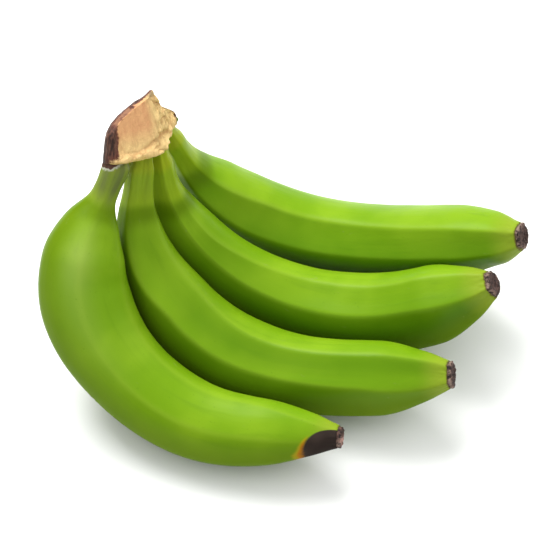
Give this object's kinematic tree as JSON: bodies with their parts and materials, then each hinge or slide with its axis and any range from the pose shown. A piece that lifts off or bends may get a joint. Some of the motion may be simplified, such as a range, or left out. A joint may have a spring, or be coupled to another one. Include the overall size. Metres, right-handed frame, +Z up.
{
  "type": "plantain hand",
  "caption": "Hand of green plantain fingers: curved ridged fruits fanning out from one knife-cut woody crown, lying belly down.",
  "frame": {"origin": "middle of the hand's box on the surface it lies on", "axes": "+X from the crown's side towards the blossom ends, +Y from the front finger towards the back one, +Z up"},
  "size_m": [0.2264, 0.1574, 0.1185],
  "materials": {
    "peel": "smooth green peel with a soft sheen",
    "crown": "matt, dry, fibrous knife cut",
    "blossom_end": "matt, dried black-brown"
  },
  "bodies": {
    "root": {"crown": "crown", "finger_1": "peel", "finger_2": "peel", "finger_3": "peel", "finger_4": "peel", "tip_1": "blossom_end", "tip_2": "blossom_end", "tip_3": "blossom_end", "tip_4": "blossom_end"}
  },
  "joints": []
}
